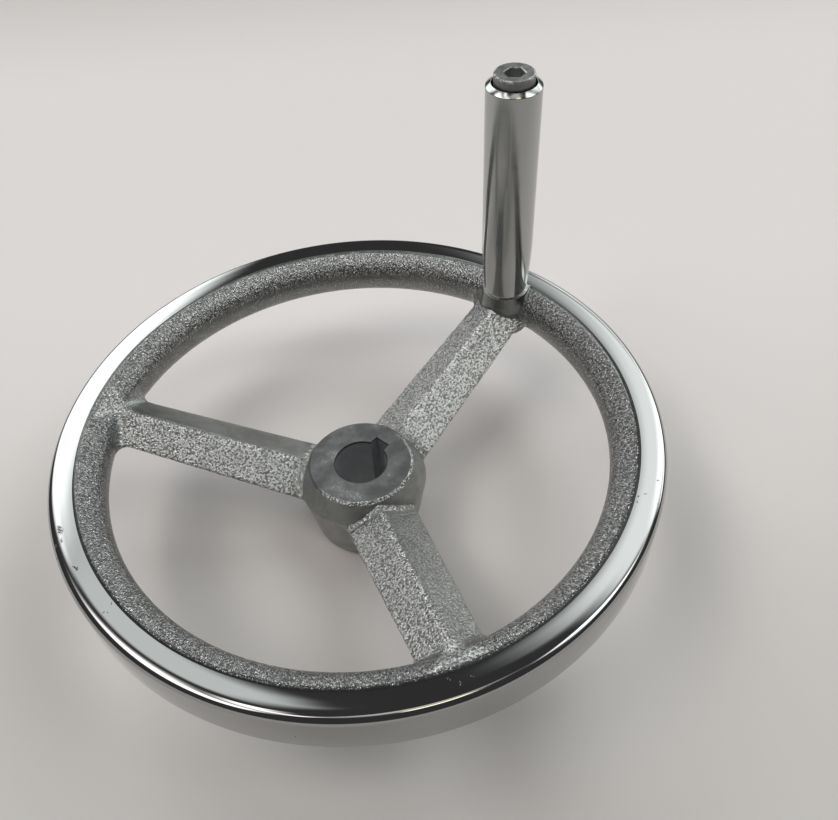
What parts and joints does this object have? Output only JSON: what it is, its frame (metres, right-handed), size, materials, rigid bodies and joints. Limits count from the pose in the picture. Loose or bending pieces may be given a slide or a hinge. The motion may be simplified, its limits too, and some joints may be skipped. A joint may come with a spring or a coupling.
{
  "type": "machine handwheel",
  "caption": "Dished, spoked machine handwheel with a keyed bore and a turning cylindrical grip screwed to its rim.",
  "frame": {"origin": "on the shaft's axis, at the back end of the hub, which is the surface the wheel lies on", "axes": "+Z along the bore, from the back of the hub towards the handle side; +X towards the handle, along its spoke and the keyway; +Y completes the right-handed set"},
  "size_m": [0.2, 0.2, 0.1345],
  "materials": {
    "plated_casting": "bright plated; the rim's outer band is turned and polished, the spokes and the rim's inner roll keep a pebbled cast skin",
    "polished_grip": "turned, polished and plated steel",
    "tube_steel": "plain turned steel",
    "screw_steel": "dull dark grey, rubbed bright at the head's edges"
  },
  "bodies": {
    "wheel": {"wheel": "plated_casting", "spacer_tube": "tube_steel", "handle_screw": "screw_steel"},
    "grip": {"grip": "polished_grip"}
  },
  "joints": [
    {"name": "grip_spin", "type": "hinge", "parent": "wheel", "child": "grip", "pos_m": [0.0856, 0, 0.09115], "axis": [0, 0, 1], "continuous": true}
  ]
}
